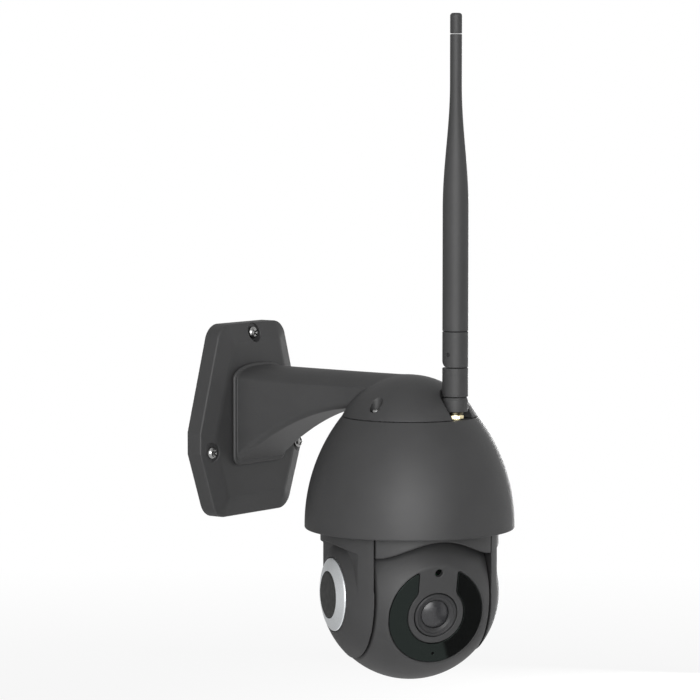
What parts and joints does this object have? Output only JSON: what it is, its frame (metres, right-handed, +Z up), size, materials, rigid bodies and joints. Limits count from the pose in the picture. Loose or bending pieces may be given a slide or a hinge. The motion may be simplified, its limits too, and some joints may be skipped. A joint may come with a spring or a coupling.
{
  "type": "security camera",
  "caption": "Wall-mounted pan-and-tilt dome camera: plate, arm and dome carry a turning yoke with a tilting ball, and a folding antenna.",
  "frame": {"origin": "on the wall plate's back face, on its upright middle line and level with its widest part", "axes": "+Y into the wall, so the camera hangs out towards -Y; +Z up; +X to the right of someone who faces the wall"},
  "size_m": [0.1048, 0.1658, 0.3307],
  "materials": {
    "housing": "satin charcoal moulding with a fine grain",
    "whip": "satin charcoal plastic",
    "screws": "bright nickel plate",
    "brass": "bright pale brass",
    "ring": "satin silver",
    "dark": "satin black",
    "window": "gloss, dark infrared filter",
    "lens": "clear, coated",
    "rubber": "matt",
    "circuit": "green solder mask",
    "steel": "plain turned and pressed metal",
    "gears": "natural acetal",
    "lamp": "smoked clear resin"
  },
  "bodies": {
    "mount": {"wall_plate": "housing", "wall_screw_top": "screws", "wall_screw_left": "screws", "wall_screw_right": "screws", "arm_screw_1": "screws", "arm_screw_2": "screws", "arm_screw_3": "screws", "arm_screw_4": "screws", "cable_inlet_grommet": "rubber", "support_arm": "housing", "cap_screw_left": "screws", "cap_screw_right": "screws", "cap_gasket": "rubber", "dome_shell": "housing", "main_board": "circuit", "pan_base": "dark", "base_screw_1": "screws", "base_screw_2": "screws", "base_screw_3": "screws", "pan_bearing": "steel", "pan_motor": "steel", "antenna_jack": "brass", "antenna_nut": "brass", "antenna_collar": "whip"},
    "antenna_base": {"antenna_swivel": "whip", "antenna_pin": "steel"},
    "antenna_mast": {"antenna_knuckle": "whip", "antenna_whip": "whip", "antenna_tip": "whip"},
    "pan_pinion": {"pan_pinion": "gears"},
    "yoke": {"yoke_neck": "housing", "pan_gear": "gears", "hub_clip": "steel", "yoke_arm_left": "housing", "yoke_arm_right": "housing", "hub_ring_left": "ring", "hub_ring_right": "ring", "hub_disc_left": "dark", "hub_disc_right": "dark", "yoke_screw_left": "screws", "yoke_screw_right": "screws", "tilt_axle_left": "steel", "tilt_axle_right": "steel", "tilt_gear": "gears"},
    "ball": {"ball_front": "housing", "ball_rear": "housing", "ir_window": "window", "lens_bezel": "dark", "lens_glass": "lens", "lens_barrel": "dark", "sensor_board": "circuit", "lamp_board": "circuit", "ir_lamp_1": "lamp", "ir_lamp_2": "lamp", "ir_lamp_3": "lamp", "ir_lamp_4": "lamp", "light_sensor": "lamp", "microphone": "steel", "tilt_motor": "steel"},
    "tilt_pinion": {"tilt_pinion": "gears"}
  },
  "joints": [
    {"name": "antenna_turn", "type": "hinge", "parent": "mount", "child": "antenna_base", "pos_m": [0, -0.1364, 0.035], "axis": [0, 0, 1], "continuous": true},
    {"name": "antenna_fold", "type": "hinge", "parent": "antenna_base", "child": "antenna_mast", "pos_m": [0, -0.1364, 0.049], "axis": [-1, 0, 0], "range_deg": [0, 50]},
    {"name": "pan", "type": "hinge", "parent": "mount", "child": "yoke", "pos_m": [0, -0.1089, 0], "axis": [0, 0, 1], "range_deg": [-144.5, 210.5]},
    {"name": "tilt", "type": "hinge", "parent": "yoke", "child": "ball", "pos_m": [0, -0.1089, -0.07046], "axis": [0.8387, -0.5446, 0], "range_deg": [-11.5, 78.5]},
    {"name": "pan_pinion_spin", "type": "hinge", "parent": "mount", "child": "pan_pinion", "pos_m": [0, -0.0859, 0], "axis": [0, 0, 1], "range_deg": [-760, 522]},
    {"name": "tilt_pinion_spin", "type": "hinge", "parent": "ball", "child": "tilt_pinion", "pos_m": [0.01014, -0.09329, -0.06667], "axis": [0.8387, -0.5446, 0], "range_deg": [-33, 221]}
  ],
  "couplings": [
    {"joint": "pan_pinion_spin", "follows": "pan", "ratio": -3.6},
    {"joint": "tilt_pinion_spin", "follows": "tilt", "ratio": 2.8}
  ]
}
